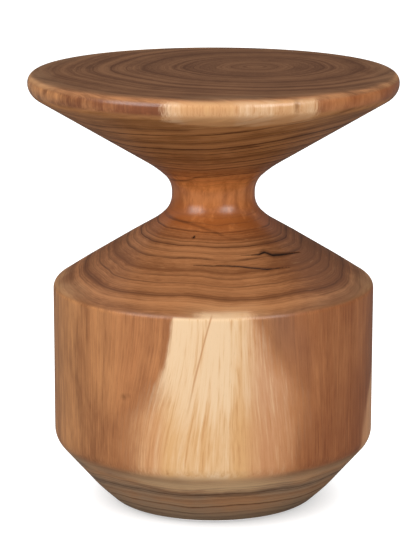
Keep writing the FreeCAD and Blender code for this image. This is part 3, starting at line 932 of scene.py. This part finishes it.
def sapwood(wood, at, rings, fibres):
    """Colour of the sapwood: cream, golden towards the foot and the sides, tan to the right, with a vein."""
    ripple = fibres.streak * at.side_grain + rings.band * at.end_grain
    thread = (fibres.fine * 0.75 + fibres.dash * 0.36) * at.side_grain + (rings.plain - 0.3) * at.end_grain
    gold = wood.smooth(at.z, 120, 205, 0.6, 0.05) + wood.smooth(abs(at.azimuth + 4), 5, 16, 0.0, 0.35)
    gold = gold * at.in_drum + wood.around(at.azimuth, RIM_GOLD) * at.in_top
    gold = gold + ripple * 0.45 + thread * 0.42 + fibres.broad * 0.35
    colour = wood.mix(SAP_CREAM, SAP_GOLD, wood.smooth(gold, 0.0, 1.0))
    brown_right = wood.smooth(at.azimuth + fibres.broad * 2, 8.5, 18) * 0.85
    brown_left = wood.smooth(at.azimuth + fibres.broad * 3, -14, -22) * wood.fade(at.z, 150, 215, 0.6)
    browned = (brown_right + brown_left) * at.in_drum + at.in_top * 0.36
    colour = wood.mix(colour, SAP_TAN, browned * wood.smooth(thread + ripple, -1.1, 0.2, 0.55, 1.0))
    streaked = wood.smooth(thread * 0.8 + ripple * 0.8 + gold * 0.35, 0.2, 1.5)
    colour = wood.mix(colour, SAP_STREAK, streaked * 0.7)
    vein_azimuth = wood.curve(at.z, SAP_VEIN[0][0], SAP_VEIN[-1][0], SAP_VEIN)
    from_vein = abs(at.azimuth - vein_azimuth + fibres.tongue * 0.2)
    vein = wood.fade(from_vein, 0.05, 0.5) * wood.smooth(at.z, 140, 215) * wood.fade(at.z, 274, 282)
    colour = wood.mix(colour, SAP_STREAK, vein * 0.7)
    return wood.mix(colour, FOOT_TAN, at.in_foot)


def log_wood(name):
    """Wood of one whole log: rings about a pith, fibres along +Z, and sapwood near its surface."""
    wood = Shader(name)
    at = log_place(wood)
    rings = log_rings(wood, at)
    fibres = log_fibres(wood, at, rings)
    waist = waist_share(wood, at)
    tan = tan_share(wood, at, rings)
    lines = dark_lines(wood, at, rings, tan, waist)
    sap = sap_patches(wood, at, rings, fibres)
    check = wood.attribute("check")

    # Heartwood, with the waist, the tints, the foot and the dark lines
    colour = wood.mix(heartwood(wood, at, fibres), ring_wood(wood, at, rings), at.end_grain)
    colour = wood.mix(colour, waist_wood(wood, at, rings, fibres), waist * 0.85)
    colour = tinted(wood, at, rings, tan, colour)
    colour = wood.mix(colour, foot_wood(wood, at, rings), at.in_foot * 0.85)
    lined = wood.calc("MAXIMUM", at.end_grain, waist * 0.5) * (1 - waist * 0.35)
    colour = wood.mix(colour, RING_LINE, lines * lined * (at.in_foot * 0.1 + at.under * 0.3 + 1))

    # Sapwood, with a dark edge in places
    edge = wood.fade(abs(sap.ragged - 1.12), 0.0, 0.14) * at.side_grain * (1 - sap.loose)
    edge = edge * wood.smooth(fibres.streak + fibres.fine * 0.5, -0.1, 0.9)
    colour = wood.mix(colour, HEART_DARK, edge * 0.6)
    sap_strength = sap.share * (1 - at.end_grain * 0.3 - at.under * 0.2)
    colour = wood.mix(colour, sapwood(wood, at, rings, fibres), sap_strength)

    # Pores, and the checks and knots with their stain, and painted shade in the checks' depth
    colour = wood.mix(colour, RING_LINE, fibres.pore * 0.3 * (1 - sap.share * 0.6))
    stain = wood.smooth(check + rings.fleck * check * 0.5, 0.05, 0.75)
    colour = wood.mix(colour, RING_LINE, stain * 0.62)
    # Painted shade in the checks' depth, and the darkest knot's core
    colour = wood.mix(colour, CHECK, wood.smooth(check, 0.66, 0.9))

    rough = at.end_grain * 0.1 + at.level * 0.2 + fibres.fine * 0.03 + lines * 0.05 - waist * 0.1 + 0.5
    height = fibres.fine * 0.3 + fibres.streak * 0.25 - fibres.pore * 0.7 - lines * at.end_grain * 0.6
    gloss = 0.5 - at.end_grain * 0.24 - at.level * 0.15 + at.in_top * at.side_grain * 0.4 + waist * 0.4
    return wood.finish(
        colour, rough, height, bump=0.22, depth=0.25 * MM,
        specular_ior_level=0.12, coat_weight=gloss * wood.fade(check, 0.3, 0.5), coat_roughness=0.27,
    )


def plug_wood(name):
    """Bare cross-cut wood of the plug, with its pith off to one side."""
    wood = Shader(name)
    x, y, z = wood.position()
    from_x = x - PLUG_PITH_X
    from_y = y - PLUG_PITH_Y
    age = wood.calc("SQRT", from_x * from_x + from_y * from_y) + wood.noise((x, y, z), 20) * 2
    late = wood.smooth(wood.calc("FRACT", age / PLUG_RING), 0.4, 0.95)
    grain = wood.noise((x, y, z), 0.8)
    colour = wood.mix(PLUG_EARLY, PLUG_LATE, late * 0.6)
    colour = wood.mix(colour, PLUG_PORES, wood.smooth(grain, 0.2, 1.0) * 0.35)
    return wood.finish(colour, grain * 0.05 + 0.62, grain - late * 0.5)


def speckled(name, colours, size, rough, swing, **others):
    """Plain material with fine mottling in its colour, roughness and height."""
    plain = Shader(name)
    place = plain.position()
    speck = plain.noise(place, size, 3.0, 0.6)
    cloud = plain.noise(place, size * 9)
    colour = plain.mix(*colours, plain.smooth(speck * 0.7 + cloud * 0.5, -0.8, 0.8))
    return plain.finish(colour, speck * swing + cloud * swing + rough, speck, bump=0.25, **others)


def felt_cloth(name):
    """Pressed felt: short matted fibres that lie every way."""
    felt = Shader(name)
    x, y, z = felt.position()
    fibres = felt.calc("MAXIMUM", felt.noise((x, y / 6, z), 0.5), felt.noise((x / 6, y, z), 0.5))
    cloud = felt.noise((x, y, z), 5)
    colour = felt.mix(*FELT_COLOURS, felt.smooth(fibres + cloud * 0.3, -0.2, 1.1))
    return felt.finish(colour, 0.95, fibres, bump=0.8, depth=0.5 * MM, sheen_weight=0.4)


turned_wood = log_wood("turned_wood")
top = turned_mesh("table_top_turned", TOP_OUTSIDE, TOP_CORE)
add_piece("table_top_turned", top, "table_top", turned_wood)
neck = turned_mesh("neck_spindle_turned", NECK_OUTSIDE, NECK_CORE)
add_piece("neck_spindle_turned", neck, "neck_spindle", turned_wood)
drum = cut_pockets(turned_mesh("drum_blank", DRUM_OUTSIDE, DRUM_CORE))
add_piece("drum_body_turned", drum, "drum_body", turned_wood)
felts = at_glides(plain_turning("glide_felts_pressed", rounded(FELT_OUTSIDE), turns=72))
add_piece("glide_felts_pressed", felts, "glide_felts", felt_cloth("glide_felt"))

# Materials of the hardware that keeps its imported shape
steel = speckled("zinc_steel", STEEL_COLOURS, size=0.6, rough=0.32, swing=0.05, metallic=1.0)
brass = speckled("insert_brass", BRASS_COLOURS, size=0.5, rough=0.3, swing=0.05, metallic=1.0)
plastic = speckled("cup_plastic", PLASTIC_COLOURS, size=0.4, rough=0.5, swing=0.04)
DRESS = {
    **dict.fromkeys(("tie_rod", "seat_washer", "spring_washer", "hex_nut", "glide_screws"), steel),
    "threaded_insert": brass,
    "glide_cups": plastic,
    "bore_plug": plug_wood("plug_wood"),
}
for node, material in DRESS.items():
    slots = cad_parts[node].data.materials
    slots.clear()
    slots.append(material)

# Where the lamps aim, in metres
LAMP_AIM = (0, 0, 0.32)

# Strength of the studio's light from overhead, from the horizon, and from below the floor, where only
# the base sees it
OVERHEAD_LIGHT = 0.85
HORIZON_LIGHT = 0.06
BELOW_LIGHT = 0.75
# Share of the white background that a gloss shows
GLOSS_SHARE = 0.05

# Floor, in metres: its reach, its tone in plain light and in a gloss, the radii between which it goes from
# shaded to white, and the radius within which it is open under the base
FLOOR_REACH = 9
FLOOR_TONE = 0.6
GLOSS_TONE = 0.13
SHADE_RADIUS = 0.12
WHITE_RADIUS = 0.19
SHADE_TONE = 0.45
OPEN_RADIUS = 0.116
OPEN_EDGE = 0.002

# Camera, as fitted to the outline: focal length and frame height in pixels, place in metres, pitch
FOCAL_PIXELS = 2561.8
FRAME_PIXELS = 560
SENSOR_HEIGHT = 36.0
CAMERA_PLACE = (-0.0042, -3.1212, 0.9859)
CAMERA_PITCH = 12.797


def area_light(name, place, size, power):
    """Soft square lamp facing the table, in metres and watts."""
    lamp = bpy.data.objects.new(name, bpy.data.lights.new(name, "AREA"))
    lamp.data.size = size
    lamp.data.energy = power
    lamp.location = place
    toward = np.array(LAMP_AIM) - np.array(place)
    flat = math.hypot(toward[0], toward[1])
    lamp.rotation_euler = (math.atan2(flat, -toward[2]), 0, math.atan2(-toward[0], toward[1]))
    bpy.context.scene.collection.objects.link(lamp)


def seen_rays(nodes):
    """1 for rays that show the background to the eye or through glass, little in a gloss, 0 for the rest."""
    rays = nodes.node("ShaderNodeLightPath").outputs
    eye = Field(nodes, rays["Is Camera Ray"])
    through = Field(nodes, rays["Is Transmission Ray"])
    gloss = Field(nodes, rays["Is Glossy Ray"]) * GLOSS_SHARE
    return nodes.calc("MAXIMUM", nodes.calc("MAXIMUM", gloss, eye), through)


def soft_studio():
    """White studio: pale overhead, dim at the horizon, lit below the floor, and white as a background."""
    world = bpy.data.worlds.new("studio")
    bpy.context.scene.world = world
    world.use_nodes = True
    studio = Nodes(world.node_tree)
    height = studio.parts(studio.output("ShaderNodeTexCoord", "Generated"))[2]
    sky = studio.ramp(height, 0.25, 0.85, HORIZON_LIGHT, OVERHEAD_LIGHT)
    sky = studio.ramp(height, -0.5, 0.0, BELOW_LIGHT, sky)
    background = studio.tree.nodes["Background"].inputs
    background["Color"].default_value = (1, 1, 1, 1)
    studio.plug(studio.ramp(seen_rays(studio), 0.0, 1.0, sky, 1.0), background["Strength"])


def floor_material():
    """White as a background, with the table's soft shadow, and clear from below and under the base."""
    material = bpy.data.materials.new("floor")
    material.use_nodes = True
    floor = Nodes(material.node_tree)
    floor.tree.nodes.remove(floor.tree.nodes["Principled BSDF"])
    length = floor.node("ShaderNodeVectorMath", operation="LENGTH")
    floor.plug(floor.output("ShaderNodeTexCoord", "Object"), length.inputs[0])
    radius = Field(floor, length.outputs["Value"])

    matt = floor.node("ShaderNodeBsdfDiffuse")
    in_gloss = floor.output("ShaderNodeLightPath", "Is Glossy Ray")
    floor.plug(floor.ramp(in_gloss, 0.0, 1.0, FLOOR_TONE, GLOSS_TONE), matt.inputs["Color"])
    glow = floor.node("ShaderNodeEmission")
    white = floor.ramp(radius, SHADE_RADIUS, WHITE_RADIUS, SHADE_TONE, 1.0)
    floor.plug(floor.ramp(seen_rays(floor), 0.0, 1.0, 0.0, white), glow.inputs["Strength"])
    from_below = floor.output("ShaderNodeNewGeometry", "Backfacing")
    under_base = floor.ramp(radius, OPEN_RADIUS, OPEN_RADIUS + OPEN_EDGE, 1.0, 0.0)

    link = floor.tree.links.new
    whole = floor.node("ShaderNodeAddShader")
    link(matt.outputs[0], whole.inputs[0])
    link(glow.outputs[0], whole.inputs[1])
    cleared = floor.node("ShaderNodeMixShader")
    floor.plug(floor.calc("MAXIMUM", from_below, under_base), cleared.inputs[0])
    link(whole.outputs[0], cleared.inputs[1])
    link(floor.node("ShaderNodeBsdfTransparent").outputs[0], cleared.inputs[2])
    link(cleared.outputs[0], floor.tree.nodes["Material Output"].inputs["Surface"])
    return material


def pale_floor():
    """Square floor about the table."""
    mesh = bpy.data.meshes.new("floor")
    corners = [(x * FLOOR_REACH, y * FLOOR_REACH, 0) for x, y in ((-1, -1), (1, -1), (1, 1), (-1, 1))]
    mesh.from_pydata(corners, [], [(0, 1, 2, 3)])
    mesh.materials.append(floor_material())
    floor = bpy.data.objects.new("floor", mesh)
    bpy.context.scene.collection.objects.link(floor)


def front_camera():
    """Camera in front of the table, looking a little down."""
    camera = bpy.data.objects.new("camera", bpy.data.cameras.new("camera"))
    camera.data.sensor_fit = "VERTICAL"
    camera.data.sensor_height = SENSOR_HEIGHT
    camera.data.lens = FOCAL_PIXELS / FRAME_PIXELS * SENSOR_HEIGHT
    camera.location = CAMERA_PLACE
    camera.rotation_euler = (math.radians(90 - CAMERA_PITCH), 0, 0)
    bpy.context.scene.collection.objects.link(camera)
    bpy.context.scene.camera = camera


area_light("key_light", place=(-1.9, -1.7, 1.75), size=1.8, power=52.5)
area_light("fill_light", place=(1.6, -2.0, 1.5), size=1.3, power=31)
soft_studio()
pale_floor()
front_camera()
bpy.context.scene.view_settings.view_transform = "Standard"
